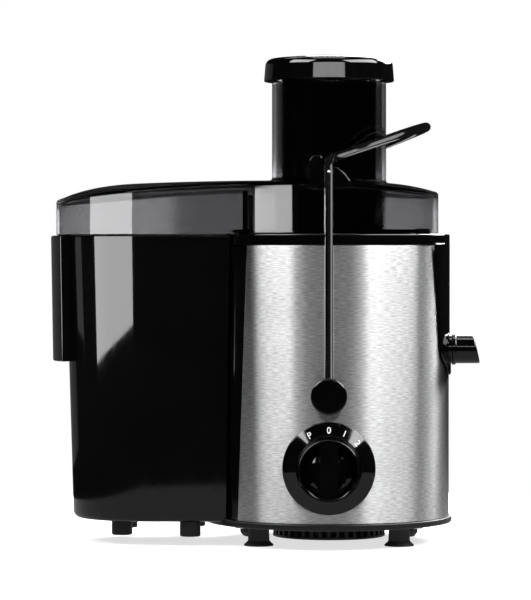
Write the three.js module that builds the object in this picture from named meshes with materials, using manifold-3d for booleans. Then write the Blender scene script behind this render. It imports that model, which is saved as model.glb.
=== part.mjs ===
// Centrifugal juicer: a round motor base in a steel wrap, a black juice bowl with a spout,
// a spinning filter basket, a smoke-tinted lid with a feed chute and pusher, a wire bail that
// locks the lid, and a pulp container at the side. Millimetres, +Z up, dial towards -Y.
import * as THREE from 'three';
import { mergeVertices } from 'three/addons/utils/BufferGeometryUtils.js';
import Module from 'manifold-3d';

const wasm = await Module();
wasm.setup();

// ---- Driving dimensions, measured from the motor axis and up from the table ----
const AXIS = { x: 42, y: 4 }; // motor axis from the middle of the footprint
const GAP = 0.3; // clearance between touching pieces
const ROUND = 40; // segments round the big shells
const MID = 24; // segments round the motor's pieces
const SMALL = 12; // segments round small pieces

const BASE = { radius: 81, bottom: 13, top: 17, hole: 37.5 };
const SHELL = { radius: 77.7, wall: 2.5, bottom: 17.3, top: 194, deck: 109, deckWall: 3, deckHole: 14 };
const WRAP = { inner: 78, outer: 79, bottom: 17.3, top: 194.5, edgeTop: -52.6, edgeBottom: -59 };
const SLOT = { topHalf: 37, topZ: 196, lowHalf: 28, lowZ: 126, floorHalf: 16, floorZ: 115 };
const BOWL = { outer: 73, wall: 2.2, floor: 117, collar: 20, collarTop: 142, flange: 79.5, flangeZ: 194.8, top: 202 };
const SPOUT = { z: 126.6, outer: 9.5, bore: 7, tipTop: 95, tipLow: 99.5, collar: 10.6 };
const PIVOT = { z: 99, pin: 4.1, bush: 6.2, cap: 11.6, capIn: 79.8, capOut: 92, pinEnd: 69.5 };
const BAIL = { wire: 3, legY: 84, crownY: 64, crownZ: 249, slope: 0.369 };
const DIAL = { z: 52.8, bezel: 29.7, bezelFace: 84, knob: 19.4, knobBack: 82.5, knobFace: 100, bar: 11.8 };
const LID = { cx: -1.5, radius: 73.5, half: 53, endX: -127, wall: 2.5, bottom: 202.3, reach: 50 };
const ARCH = { peakX: -35, crown: 237.3, crownFall: 0.00022, edge: 234, edgeFall: 0.00056 };
const CHUTE = { outer: 37.6, bore: 34.3, bottom: 170, top: 302 };
const PUSHER = { radius: 31.35, wall: 2.5, bottom: 175, top: 306, cap: 42.9, capLow: 302.5, capTop: 319.6 };
const EAR = { left: -12.8, right: 13.3, inY: 56, outY: 76, hump: 252, notch: 245 };
const BIN = { bottom: 15.7, top: 201.2, lowHalf: 47, topHalf: 50.5, lowX: -121.6, topX: -123.5, wall: 2.5, bay: 81.5 };
const GRIP = { bottom: 119, radius: 60, angle: 31, wall: 2.2 };
const SHAFT = { radius: 4, bottom: 20, top: 135 };
const BASKET = { disc: 163, lowR: 48, topR: 63.5, top: 200, rimTop: 205, wall: 1 };

// ---- Finishes ----
const finishes = {
  blackGloss: new THREE.MeshStandardMaterial({ color: 0x0b0b0c, roughness: 0.18, metalness: 0 }),
  blackMatte: new THREE.MeshStandardMaterial({ color: 0x17181a, roughness: 0.55, metalness: 0 }),
  smoke: new THREE.MeshStandardMaterial({ color: 0x3a3a3c, roughness: 0.1, transparent: true, opacity: 0.6 }),
  steel: new THREE.MeshStandardMaterial({ color: 0xc4c4c6, roughness: 0.32, metalness: 1 }),
  chrome: new THREE.MeshStandardMaterial({ color: 0xdcdde0, roughness: 0.08, metalness: 1 }),
  laminated: new THREE.MeshStandardMaterial({ color: 0x6b6d70, roughness: 0.5, metalness: 1 }),
  copper: new THREE.MeshStandardMaterial({ color: 0xb0643a, roughness: 0.35, metalness: 1 }),
  rubber: new THREE.MeshStandardMaterial({ color: 0x101010, roughness: 0.8, metalness: 0 }),
  ivory: new THREE.MeshStandardMaterial({ color: 0xd8d4c8, roughness: 0.5, metalness: 0 }),
};

// ---- Solid helpers ----

// Turns a closed geometry into a solid, dropping the zero-width triangles at a lathe's poles.
function toSolid(geometry) {
  const bare = new THREE.BufferGeometry();
  bare.setAttribute('position', geometry.getAttribute('position'));
  bare.setIndex(geometry.index);
  const merged = mergeVertices(bare, 1e-3);
  const corners = [...merged.index.array];
  const faces = [];
  for (let i = 0; i < corners.length; i += 3) {
    const [a, b, c] = corners.slice(i, i + 3);
    if (a !== b && b !== c && c !== a) faces.push(a, b, c);
  }
  const build = (triangles) => new wasm.Manifold(new wasm.Mesh({
    numProp: 3,
    vertProperties: merged.getAttribute('position').array,
    triVerts: new Uint32Array(triangles),
  }));
  const solid = build(faces);
  return solid.volume() > 0 ? solid : build(faces.reverse());
}

// Spins a profile of [radius, height] points round the Z axis.
function revolve(profile, segments = ROUND) {
  const points = profile.map(([r, z]) => new THREE.Vector2(r, z));
  const onAxis = profile[0][0] === 0 && profile.at(-1)[0] === 0;
  if (!onAxis) points.push(points[0].clone());
  return toSolid(new THREE.LatheGeometry(points, segments).rotateX(Math.PI / 2));
}

function tube(outer, inner, z0, z1, segments = ROUND) {
  return revolve([[inner, z0], [outer, z0], [outer, z1], [inner, z1]], segments);
}

function block(x0, x1, y0, y1, z0, z1) {
  const box = new THREE.BoxGeometry(x1 - x0, y1 - y0, z1 - z0);
  return toSolid(box.translate((x0 + x1) / 2, (y0 + y1) / 2, (z0 + z1) / 2));
}

function upright(radius, z0, z1, x = 0, y = 0, segments = SMALL) {
  const rod = new THREE.CylinderGeometry(radius, radius, z1 - z0, segments).rotateX(Math.PI / 2);
  return toSolid(rod.translate(x, y, (z0 + z1) / 2));
}

function alongY(radius, y0, y1, x, z, segments = SMALL) {
  const rod = new THREE.CylinderGeometry(radius, radius, y1 - y0, segments);
  return toSolid(rod.translate(x, (y0 + y1) / 2, z));
}

function alongX(radius, x0, x1, y, z, segments = SMALL) {
  const rod = new THREE.CylinderGeometry(radius, radius, x1 - x0, segments).rotateZ(Math.PI / 2);
  return toSolid(rod.translate((x0 + x1) / 2, y, z));
}

// Extrudes an outline drawn in (y, z) along X.
function prismX(shape, x0, x1, curveSegments = 12) {
  const flat = new THREE.ExtrudeGeometry(shape, { depth: x1 - x0, bevelEnabled: false, curveSegments });
  flat.rotateX(Math.PI / 2).rotateZ(Math.PI / 2);
  return toSolid(flat.translate(x0, 0, 0));
}

// Extrudes an outline drawn in (x, z) along Y.
function prismY(shape, y0, y1, curveSegments = 12) {
  const flat = new THREE.ExtrudeGeometry(shape, { depth: y1 - y0, bevelEnabled: false, curveSegments });
  return toSolid(flat.rotateX(Math.PI / 2).translate(0, y1, 0));
}

// Extrudes an outline drawn in (x, y) up Z.
function prismZ(shape, z0, z1, curveSegments = 12) {
  const flat = new THREE.ExtrudeGeometry(shape, { depth: z1 - z0, bevelEnabled: false, curveSegments });
  return toSolid(flat.translate(0, 0, z0));
}

// Joins rings of [x, y, z] points, all with the same count and anticlockwise, into a closed body.
function loft(rings) {
  const count = rings[0].length;
  const faces = [];
  for (let r = 0; r + 1 < rings.length; r++) {
    for (let i = 0; i < count; i++) {
      const next = (i + 1) % count;
      const [a, b] = [r * count + i, r * count + next];
      faces.push(a, b, b + count, a, b + count, a + count);
    }
  }
  const capFaces = (ring) => THREE.ShapeUtils.triangulateShape(ring.map(([x, y]) => new THREE.Vector2(x, y)), []);
  const last = (rings.length - 1) * count;
  for (const [a, b, c] of capFaces(rings[0])) faces.push(a, c, b);
  for (const [a, b, c] of capFaces(rings.at(-1))) faces.push(last + a, last + b, last + c);
  const geometry = new THREE.BufferGeometry();
  geometry.setAttribute('position', new THREE.Float32BufferAttribute(rings.flat(2), 3));
  geometry.setIndex(faces);
  return toSolid(geometry);
}

// Points on an arc from one angle to another, both ends included, in degrees.
function arc(cx, cy, radius, from, to, steps) {
  return Array.from({ length: steps + 1 }, (_, i) => {
    const angle = THREE.MathUtils.degToRad(from + ((to - from) * i) / steps);
    return [cx + radius * Math.cos(angle), cy + radius * Math.sin(angle)];
  });
}

const machine = new THREE.Group();
machine.position.set(AXIS.x, AXIS.y, 0);

// Adds a solid to the machine as a named mesh, optionally turned about X and placed.
function add(name, solid, finish, { at = [0, 0, 0], turnX = 0 } = {}) {
  const { vertProperties, triVerts } = solid.getMesh();
  const geometry = new THREE.BufferGeometry();
  geometry.setAttribute('position', new THREE.BufferAttribute(vertProperties, 3));
  geometry.setIndex(new THREE.BufferAttribute(triVerts, 1));
  geometry.computeVertexNormals();
  const mesh = new THREE.Mesh(geometry, finish);
  mesh.name = name;
  mesh.position.set(...at);
  mesh.rotation.x = turnX;
  machine.add(mesh);
}

// ---- Motor base ----

// The U-shaped gap in the base's right side, which the bowl's apron fills, in (y, z).
function slotOutline(grow) {
  const outline = new THREE.Shape();
  outline.moveTo(-SLOT.topHalf - grow, SLOT.topZ + 8);
  outline.lineTo(-SLOT.topHalf - grow, SLOT.topZ);
  outline.lineTo(-SLOT.lowHalf - grow, SLOT.lowZ);
  outline.quadraticCurveTo(-SLOT.lowHalf - grow + 1.5, SLOT.floorZ - grow, -SLOT.floorHalf, SLOT.floorZ - grow);
  outline.lineTo(SLOT.floorHalf, SLOT.floorZ - grow);
  outline.quadraticCurveTo(SLOT.lowHalf + grow - 1.5, SLOT.floorZ - grow, SLOT.lowHalf + grow, SLOT.lowZ);
  outline.lineTo(SLOT.topHalf + grow, SLOT.topZ);
  outline.lineTo(SLOT.topHalf + grow, SLOT.topZ + 8);
  return outline;
}

// Everything left of the wrap's slanted rear-left edges, moved left by shift.
function leftOfWrap(shift) {
  const side = new THREE.Shape();
  side.moveTo(WRAP.edgeBottom - shift, WRAP.bottom - 1);
  side.lineTo(WRAP.edgeTop - shift, WRAP.top + 1);
  side.lineTo(-100, WRAP.top + 1);
  side.lineTo(-100, WRAP.bottom - 1);
  return prismY(side, -100, 100);
}

// The two pivot holes, the dial's hole and the cord's hole through the base's wall.
function wallHoles() {
  const pivots = alongY(PIVOT.bush + GAP, -85, 85, 0, PIVOT.z);
  const dial = alongY(8, -85, -60, 0, DIAL.z);
  const cord = alongY(7.3, 60, 85, 0, 36);
  return pivots.add(dial).add(cord);
}

function motorHousing() {
  const inner = SHELL.radius - SHELL.wall;
  const shell = revolve([
    [SHELL.radius, SHELL.bottom], [SHELL.radius, SHELL.top], [inner, SHELL.top],
    [inner, SHELL.deck + SHELL.deckWall], [SHELL.deckHole, SHELL.deck + SHELL.deckWall],
    [SHELL.deckHole, SHELL.deck], [inner, SHELL.deck], [inner, SHELL.bottom],
  ]);
  const bareSide = tube(WRAP.outer, inner, SHELL.bottom, SHELL.top).intersect(leftOfWrap(GAP));
  let body = shell.add(bareSide);
  for (const side of [-1, 1]) {
    const near = side < 0 ? -57 : 51;
    body = body.add(block(-63, -53, near, near + 6, 184, 193));
  }
  body = body.subtract(prismX(slotOutline(0.4), 60, 90));
  return body.subtract(wallHoles());
}

function steelWrap() {
  const sheet = tube(WRAP.outer, WRAP.inner, WRAP.bottom, WRAP.top).subtract(leftOfWrap(0));
  // The catch blocks of the housing stand against the sheet's upper left corners.
  const corners = block(-70, -52.6, -60, 60, 183.5, 193.5);
  return sheet.subtract(prismX(slotOutline(0.4), 60, 90)).subtract(wallHoles()).subtract(corners);
}

function basePlate() {
  const inner = 74;
  let plate = revolve([
    [BASE.hole, BASE.bottom], [BASE.radius - 1, BASE.bottom], [BASE.radius, BASE.bottom + 1],
    [BASE.radius, BASE.top], [inner, BASE.top], [inner, 15.5], [BASE.hole, 15.5],
  ]);
  for (const [x, y] of screwPlaces) plate = plate.subtract(upright(2.3, 10, 20, x, y, 12));
  return plate;
}

// A ribbed skirt round the air inlet below the motor.
function ventRing() {
  const ribs = 24;
  let grille = tube(37, 29, 3.3, 5.3, 48).add(tube(37, 33, 12.6, 15.2, 48));
  for (let i = 0; i < ribs; i++) {
    const rib = new THREE.BoxGeometry(3.6, 2.4, 9);
    rib.translate(35, 0, 8.9).rotateZ((2 * Math.PI * i) / ribs);
    grille = grille.add(toSolid(rib));
  }
  return grille;
}

function suctionFoot() {
  return revolve([
    [0, 0.8], [6, 0.8], [7.2, 0], [9.7, 0], [9.7, 1.2], [7.8, 4], [7.8, 12.7], [0, 12.7],
  ], MID);
}

function padFoot() {
  return revolve([[0, 0], [6.5, 0], [8.4, 0.9], [9, 2.6], [9, 12.7], [0, 12.7]], MID);
}

function baseScrew() {
  return revolve([[0, 10.4], [2.6, 10.4], [4, 11.4], [4, 12.7], [2, 12.7], [2, 24], [0, 24]], SMALL);
}

const screwPlaces = [[-58, -30], [58, -30], [-50, 44], [50, 44]];

add('motor_housing', motorHousing(), finishes.blackGloss);
add('steel_wrap', steelWrap(), finishes.steel);
add('base_plate', basePlate(), finishes.blackMatte);
add('vent_ring', ventRing(), finishes.blackMatte);
for (const [name, x] of [['front_foot_left', -45.5], ['front_foot_right', 45.5]]) {
  add(name, suctionFoot(), finishes.rubber, { at: [x, -38, 0] });
}
for (const [name, x] of [['rear_foot_left', -50.5], ['rear_foot_right', 50.5]]) {
  add(name, padFoot(), finishes.rubber, { at: [x, 30, 0] });
}
screwPlaces.forEach(([x, y], i) => add(`base_screw_${i + 1}`, baseScrew(), finishes.chrome, { at: [x, y, 0] }));

// The cord's inlet: a flanged bush in the rear wall, with the hole that the cord enters by.
function cordInlet() {
  return revolve([[3.6, -6], [7, -6], [7, 1.6], [9.5, 1.6], [9.5, 3], [6.4, 8], [3.6, 8]], SMALL);
}
add('cord_inlet', cordInlet(), finishes.blackMatte, { at: [0, WRAP.outer, 36], turnX: -Math.PI / 2 });

// ---- Motor, fixed pieces ----

function bearingBracket(z) {
  const bar = block(-46, 46, -8, 8, z, z + 3).add(upright(14, z, z + 7, 0, 0, MID));
  return bar.subtract(upright(11 + GAP, z - 1, z + 8, 0, 0, MID));
}

function fieldCoil(side) {
  const near = side < 0 ? -40 : 6;
  return tube(28.5, 22.5, 46, 84, MID).intersect(block(near, near + 34, -21, 21, 40, 90));
}

function brushHolder(side) {
  const near = side < 0 ? -32 : 12.5;
  return block(near, near + 19.5, -4.5, 4.5, 36.5, 44.5);
}

function rotarySwitch() {
  const bodyBlock = block(-14, 14, -68, -50, DIAL.z - 14, DIAL.z + 14);
  return bodyBlock.add(alongY(6, -74, -67, 0, DIAL.z)).subtract(alongY(3.4, -80, -55, 0, DIAL.z));
}

// The lid-lock switch beside the rear pivot, with its lever lying on top.
function interlockSwitch() {
  return block(12, 32, 56, 66, 90, 100).add(block(8, 30, 59, 63, 99.9, 101.2));
}

add('stator_core', tube(36, 29, 48, 80, MID), finishes.laminated);
add('field_coil_left', fieldCoil(-1), finishes.copper);
add('field_coil_right', fieldCoil(1), finishes.copper);
add('lower_bracket', bearingBracket(26), finishes.laminated);
add('upper_bracket', bearingBracket(90), finishes.laminated);
add('lower_bearing', tube(11, SHAFT.radius + GAP, 26, 33, MID), finishes.chrome);
add('upper_bearing', tube(11, SHAFT.radius + GAP, 90, 97, MID), finishes.chrome);
add('brush_holder_left', brushHolder(-1), finishes.ivory);
add('brush_holder_right', brushHolder(1), finishes.ivory);
add('shaft_seal', tube(SHELL.deckHole - GAP, SHAFT.radius + GAP, 107, 113, MID), finishes.rubber);
add('rotary_switch', rotarySwitch(), finishes.ivory);
add('interlock_switch', interlockSwitch(), finishes.ivory);

// ---- Rotor ----

function coolingFan() {
  let fan = tube(30, SHAFT.radius + GAP, 22, 23.5, MID).add(tube(9, SHAFT.radius + GAP, 17, 24.5, MID));
  const blades = 7;
  for (let i = 0; i < blades; i++) {
    const blade = new THREE.BoxGeometry(20, 1.2, 5.5);
    blade.rotateZ(0.35).translate(18.5, 0, 19.6).rotateZ((2 * Math.PI * i) / blades);
    fan = fan.add(toSolid(blade));
  }
  return fan;
}

// The drive dog on the shaft: six rounded teeth, standing in the bowl's collar.
function driveCoupling() {
  const teeth = 6;
  const outline = new THREE.Shape();
  const steps = teeth * 6;
  for (let i = 0; i < steps; i++) {
    const angle = (2 * Math.PI * i) / steps;
    const radius = 10.6 + 1.4 * Math.cos(teeth * angle);
    const [x, y] = [radius * Math.cos(angle), radius * Math.sin(angle)];
    if (i === 0) outline.moveTo(x, y);
    else outline.lineTo(x, y);
  }
  return prismZ(outline, 115, 148).subtract(upright(SHAFT.radius + GAP, 110, SHAFT.top + 1, 0, 0, SMALL));
}

// The grater: a disc with a raised cutting field, and the socket below that takes the drive dog.
function graterDisc() {
  const { disc, lowR } = BASKET;
  let plate = revolve([
    [0, disc + 4], [9, disc + 4], [14, disc + 2], [lowR - 1, disc + 2], [lowR - 1, disc], [16, disc],
    [16, 143], [12.6, 143], [12.6, 150], [0, 150],
  ], MID);
  const rows = 8;
  for (let i = 0; i < rows; i++) {
    const tooth = new THREE.BoxGeometry(24, 1.2, 1.6);
    tooth.translate(29, 0, disc + 2.5).rotateZ((2 * Math.PI * i) / rows);
    plate = plate.add(toSolid(tooth));
  }
  return plate;
}

function filterMesh() {
  const { disc, lowR, topR, top, wall } = BASKET;
  return revolve([[lowR - 0.7, disc], [lowR + wall, disc], [topR, top], [topR - wall, top]]);
}

function basketRim() {
  const { topR, top, rimTop } = BASKET;
  return revolve([
    [topR - 2, top + GAP], [topR + 0.8, top + GAP], [topR + 0.8, top - 6], [topR + 2, top - 6],
    [topR + 2, rimTop], [topR - 2, rimTop],
  ]);
}

add('motor_shaft', upright(SHAFT.radius, SHAFT.bottom, SHAFT.top), finishes.chrome);
add('cooling_fan', coolingFan(), finishes.blackMatte);
add('commutator', tube(11, SHAFT.radius + GAP, 36, 46, MID), finishes.copper);
add('armature', tube(21.5, SHAFT.radius + GAP, 50, 78, MID), finishes.laminated);
add('drive_coupling', driveCoupling(), finishes.blackMatte);
add('grater_disc', graterDisc(), finishes.steel);
add('filter_mesh', filterMesh(), finishes.steel);
add('basket_rim', basketRim(), finishes.blackGloss);

// ---- Dial ----

// A shallow cone round the knob, hollowed behind to sit on the round steel.
function dialBezel() {
  const cone = new THREE.LatheGeometry([
    new THREE.Vector2(9, 64), new THREE.Vector2(DIAL.bezel, 64), new THREE.Vector2(DIAL.bezel, 80.5),
    new THREE.Vector2(27.6, 82.6), new THREE.Vector2(20.6, DIAL.bezelFace), new THREE.Vector2(20, 81),
    new THREE.Vector2(9, 81), new THREE.Vector2(9, 64),
  ], 48);
  const ring = toSolid(cone.rotateX(Math.PI).translate(0, 0, DIAL.z));
  return ring.subtract(upright(WRAP.outer + GAP, 10, 100, 0, 0, ROUND));
}

// The knob: a round block with a D-shaped hollow on each side of the grip bar.
function dialKnob() {
  const { knob, knobBack, knobFace, bar } = DIAL;
  const length = knobFace - knobBack;
  let grip = revolve([[0, 0], [knob, 0], [knob, length - 1.2], [knob - 1.2, length], [0, length]], 40);
  const hollowRadius = knob - 2.4;
  for (const side of [-1, 1]) {
    const round = upright(hollowRadius, length - 9, length + 1, 0, 0, MID);
    const near = side < 0 ? -30 : bar / 2;
    grip = grip.subtract(round.intersect(block(near, near + 30 - bar / 2, -30, 30, 0, length + 2)));
  }
  return grip.subtract(upright(3.3, -1, 6));
}

add('dial_bezel', dialBezel(), finishes.blackGloss);
add('dial_knob', dialKnob(), finishes.blackGloss, { at: [0, -DIAL.knobBack, DIAL.z], turnX: Math.PI / 2 });
add('switch_shaft', alongY(3, -88, -58, 0, DIAL.z), finishes.ivory);

// ---- Juice bowl ----

// The apron and its raised border, which follow the base's round side over the U-shaped gap.
function bowlApron() {
  const panel = tube(WRAP.outer + 0.8, 75.6, 105, BOWL.flangeZ + 2).intersect(prismX(slotOutline(-0.4), 60, 90));
  const border = tube(WRAP.outer + 1.5, WRAP.outer + GAP, 100, BOWL.flangeZ + 2)
    .intersect(prismX(slotOutline(5), 60, 90));
  return panel.add(border);
}

// The spout: a tube with a slanted mouth and a collar, pushed through the apron up to the bowl's wall.
function juiceSpout() {
  const mouth = new THREE.Shape();
  const slope = (SPOUT.tipLow - SPOUT.tipTop) / (2 * SPOUT.outer);
  mouth.moveTo(SPOUT.tipTop + slope * SPOUT.outer - slope * 20, SPOUT.z + 20);
  mouth.lineTo(SPOUT.tipTop + slope * SPOUT.outer + slope * 20, SPOUT.z - 20);
  mouth.lineTo(120, SPOUT.z - 20);
  mouth.lineTo(120, SPOUT.z + 20);
  const pipe = alongX(SPOUT.outer, BOWL.outer + GAP, 101, 0, SPOUT.z, MID);
  const collar = alongX(SPOUT.collar, WRAP.outer + 1.8, 83.4, 0, SPOUT.z, MID);
  return pipe.add(collar).subtract(prismY(mouth, -30, 30)).subtract(alongX(SPOUT.bore, 60, 105, 0, SPOUT.z, MID));
}

function juiceBowl() {
  const { outer, wall, floor, collar, collarTop, flange, flangeZ, top } = BOWL;
  const inner = outer - wall;
  const bowl = revolve([
    [collar, floor], [outer, floor], [outer, flangeZ], [flange, flangeZ], [flange, top - 1], [flange - 1, top],
    [inner, top], [inner, floor + wall], [collar + wall, floor + wall], [collar + wall, collarTop],
    [collar, collarTop],
  ]);
  const lug = new THREE.BoxGeometry(3.4, 11, 6);
  lug.translate(77.2, 0, 202.5).rotateZ(THREE.MathUtils.degToRad(-38.5));
  const whole = bowl.add(bowlApron()).add(toSolid(lug));
  const drain = alongX(SPOUT.bore, 60, 75, 0, SPOUT.z, MID);
  return whole.subtract(drain).subtract(alongX(SPOUT.outer + GAP, 74, 85, 0, SPOUT.z, MID));
}

add('juice_bowl', juiceBowl(), finishes.blackGloss);
add('juice_spout', juiceSpout(), finishes.blackGloss);

// ---- Wire bail and its pivots ----

// One leg up from the pivot, over the lid's ear, round the chute and down the other side.
function bailPath() {
  const { legY, crownY, crownZ, slope } = BAIL;
  const leg = [
    [0, -legY, PIVOT.z - 3], [0, -legY, 150], [0, -legY, 200], [0, -legY, 235], [0, -legY + 1, 243.6],
    [0.2, -legY + 5.6, crownZ - 0.4], [1.6, -legY + 12, crownZ + 0.6], [7, -crownY - 2, crownZ + 2.8],
  ];
  const crown = arc(0, 0, crownY, -76, 76, 10).map(([x, y]) => [x, y, crownZ + slope * x]);
  const back = leg.map(([x, y, z]) => [x, -y, z]).reverse();
  return new THREE.CatmullRomCurve3([...leg, ...crown, ...back].map((p) => new THREE.Vector3(...p)), false);
}

function bailWire() {
  const section = new THREE.Shape().absarc(0, 0, BAIL.wire, 0, 2 * Math.PI);
  return toSolid(new THREE.ExtrudeGeometry(section, {
    steps: 72, curveSegments: 4, bevelEnabled: false, extrudePath: bailPath(),
  }));
}

// A round cap with its pin, its axis up Z before it is turned outwards; the wire enters from the rim.
function pivotCap(turn) {
  const { cap, capIn, capOut, pin, pinEnd } = PIVOT;
  const body = revolve([
    [0, pinEnd], [pin, pinEnd], [pin, capIn], [cap, capIn], [cap, capOut - 1.6], [cap - 1.6, capOut], [0, capOut],
  ], MID);
  const wireY = BAIL.legY;
  const bore = new THREE.CylinderGeometry(BAIL.wire + 0.4, BAIL.wire + 0.4, 20, 12);
  bore.translate(0, turn * (10 - 3.4), wireY);
  return body.subtract(toSolid(bore));
}

function pivotBushing() {
  return revolve([[4.4, 72], [9, 72], [9, 74.2], [PIVOT.bush, 74.2], [PIVOT.bush, 79.2], [4.4, 79.2]], 24);
}

add('bail_wire', bailWire(), finishes.chrome);
for (const [end, side] of [['front', 1], ['rear', -1]]) {
  const place = { at: [0, 0, PIVOT.z], turnX: (side * Math.PI) / 2 };
  add(`pivot_cap_${end}`, pivotCap(side), finishes.blackGloss, place);
  add(`pivot_bushing_${end}`, pivotBushing(), finishes.ivory, place);
  add(`retaining_clip_${end}`, tube(7.5, 4.4, 70.2, 71.4, SMALL), finishes.chrome, place);
}

// ---- Lid ----

// The lid's plan, moved in by inset: a round cover over the bowl and a long round-ended one over the bin.
function lidOutline(inset) {
  const radius = LID.radius - inset;
  const half = LID.half - inset;
  const crease = THREE.MathUtils.radToDeg(Math.PI - Math.asin(half / radius));
  return [...arc(LID.cx, 0, radius, -crease, crease, 30), ...arc(LID.endX, 0, half, 90, 270, 12)];
}

// Height of the lid's top: its edge and its crown both arch lengthwise, and it rises from edge to crown.
function lidTop(x, inset) {
  const away = (x - ARCH.peakX) ** 2;
  const edge = ARCH.edge - ARCH.edgeFall * away;
  const crown = ARCH.crown - ARCH.crownFall * away;
  const open = (1 - Math.min(inset, LID.reach) / LID.reach) ** 2;
  return crown - (crown - edge) * open;
}

function lidShell(inset, lift, bottom) {
  const wallRing = lidOutline(inset).map(([x, y]) => [x, y, bottom]);
  const domeRings = [[0, -4], [1.2, -1.1], [4, 0], [15, 0], [30, 0], [48, 0]].map(([move, dip]) =>
    lidOutline(inset + move * 0.96).map(([x, y]) => [x, y, lidTop(x, move) + dip + lift]));
  return loft([wallRing, ...domeRings]);
}

// An ear that the wire crosses: a hump on the left, a notch, and a ramp down on the right.
function lidEar(side) {
  const { left, right, inY, outY, hump, notch } = EAR;
  const outline = new THREE.Shape();
  outline.moveTo(left, 227);
  outline.lineTo(left, hump - 5);
  outline.quadraticCurveTo(left + 0.5, hump, left + 4.5, hump);
  outline.lineTo(-5.5, hump - 0.6);
  outline.lineTo(-4, hump - 2.4);
  outline.lineTo(-3.6, notch);
  outline.lineTo(3.4, notch);
  outline.lineTo(6, notch - 2);
  outline.quadraticCurveTo(10.5, notch - 5, right, 235.5);
  outline.lineTo(right, 227);
  return side < 0 ? prismY(outline, -outY, -inY, 6) : prismY(outline, inY, outY, 6);
}

function lidCover() {
  const outside = lidShell(0, 0, LID.bottom);
  const inside = lidShell(LID.wall, -LID.wall, LID.bottom - 2);
  const ledge = tube(78, 67.8, LID.bottom, 205).intersect(outside);
  const skirt = ledge.add(tube(70.2, 67.8, 196, LID.bottom + 1)).subtract(block(-200, -42, -100, 100, 190, 206));
  const chute = upright(CHUTE.outer, CHUTE.bottom, CHUTE.top, 0, 0, ROUND);
  const ears = lidEar(-1).add(lidEar(1));
  return outside.subtract(inside).add(skirt).add(ears).add(chute)
    .subtract(upright(CHUTE.bore, CHUTE.bottom - 1, CHUTE.top + 1, 0, 0, ROUND));
}

add('lid_cover', lidCover(), finishes.smoke);

// ---- Pusher ----

function pusherBody() {
  const { radius, wall, bottom, top } = PUSHER;
  return revolve([
    [0, bottom], [radius - 1.5, bottom], [radius, bottom + 1.5], [radius, top], [radius - wall, top],
    [radius - wall, bottom + wall], [0, bottom + wall],
  ]);
}

function pusherCap() {
  const { cap, capLow, capTop } = PUSHER;
  return revolve([
    [0, 306.4], [32, 306.4], [32, capLow], [cap - 0.6, capLow], [cap, capLow + 0.6], [cap, capTop - 7],
    [cap - 1.4, capTop - 3.6], [cap - 5, capTop - 1.8], [20, capTop - 0.5], [0, capTop],
  ]);
}

add('pusher_body', pusherBody(), finishes.blackGloss);
add('pusher_cap', pusherCap(), finishes.blackGloss);

// ---- Pulp container ----

// The bin's plan at a height: a round left end, straight sides, and a bay that clears the motor base.
function binOutline(z, inset) {
  const t = (z - BIN.bottom) / (BIN.top - BIN.bottom);
  const half = THREE.MathUtils.lerp(BIN.lowHalf, BIN.topHalf, t) - inset;
  const endX = THREE.MathUtils.lerp(BIN.lowX, BIN.topX, t);
  const bay = BIN.bay + inset;
  const tip = THREE.MathUtils.radToDeg(Math.asin(half / bay));
  const plan = [...arc(0, 0, bay, 180 + tip, 180 - tip, 12), ...arc(endX, 0, half, 90, 270, 14)];
  return plan.map(([x, y]) => [x, y, z]);
}

// A pie slice round the bin's left end, from which the grip is cut.
function gripSlice(z, radius, angle) {
  const t = (z - BIN.bottom) / (BIN.top - BIN.bottom);
  const endX = THREE.MathUtils.lerp(BIN.lowX, BIN.topX, t);
  return [[endX, 0], ...arc(endX, 0, radius, 180 - angle, 180 + angle, 10)].map(([x, y]) => [x, y, z]);
}

function pulpContainer() {
  const { bottom, top, wall } = BIN;
  const outside = loft([
    binOutline(bottom, 3), binOutline(bottom + 0.9, 0.9), binOutline(bottom + 3, 0), binOutline(top, 0),
  ]);
  const inside = loft([binOutline(bottom + 3, wall), binOutline(top + 2, wall)]);
  const lip = loft([gripSlice(GRIP.bottom, GRIP.radius - 0.5, GRIP.angle), gripSlice(top, GRIP.radius, GRIP.angle)]);
  const inward = THREE.MathUtils.radToDeg(GRIP.wall / GRIP.radius);
  const fingers = loft([
    gripSlice(GRIP.bottom - 5, GRIP.radius - GRIP.wall - 0.5, GRIP.angle - inward),
    gripSlice(top - GRIP.wall, GRIP.radius - GRIP.wall, GRIP.angle - inward),
  ]);
  return outside.add(lip.subtract(fingers)).subtract(inside);
}

add('pulp_container', pulpContainer(), finishes.blackGloss);
const binFeet = [[-135, -27], [-90, -38], [-135, 27], [-90, 38]];
binFeet.forEach(([x, y], i) => {
  const foot = revolve([[0, 6], [5.8, 6], [6.8, 7], [6.8, 15.4], [0, 15.4]], SMALL);
  add(`container_foot_${i + 1}`, foot, finishes.rubber, { at: [x, y, 0] });
});

export default machine;
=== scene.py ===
# %% [markdown]
# # A centrifugal juicer, dressed for the studio
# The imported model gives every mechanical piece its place. This lesson keeps that frame as it is and
# lays finer shells, wires and finishes over it, one piece at a time.

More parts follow.
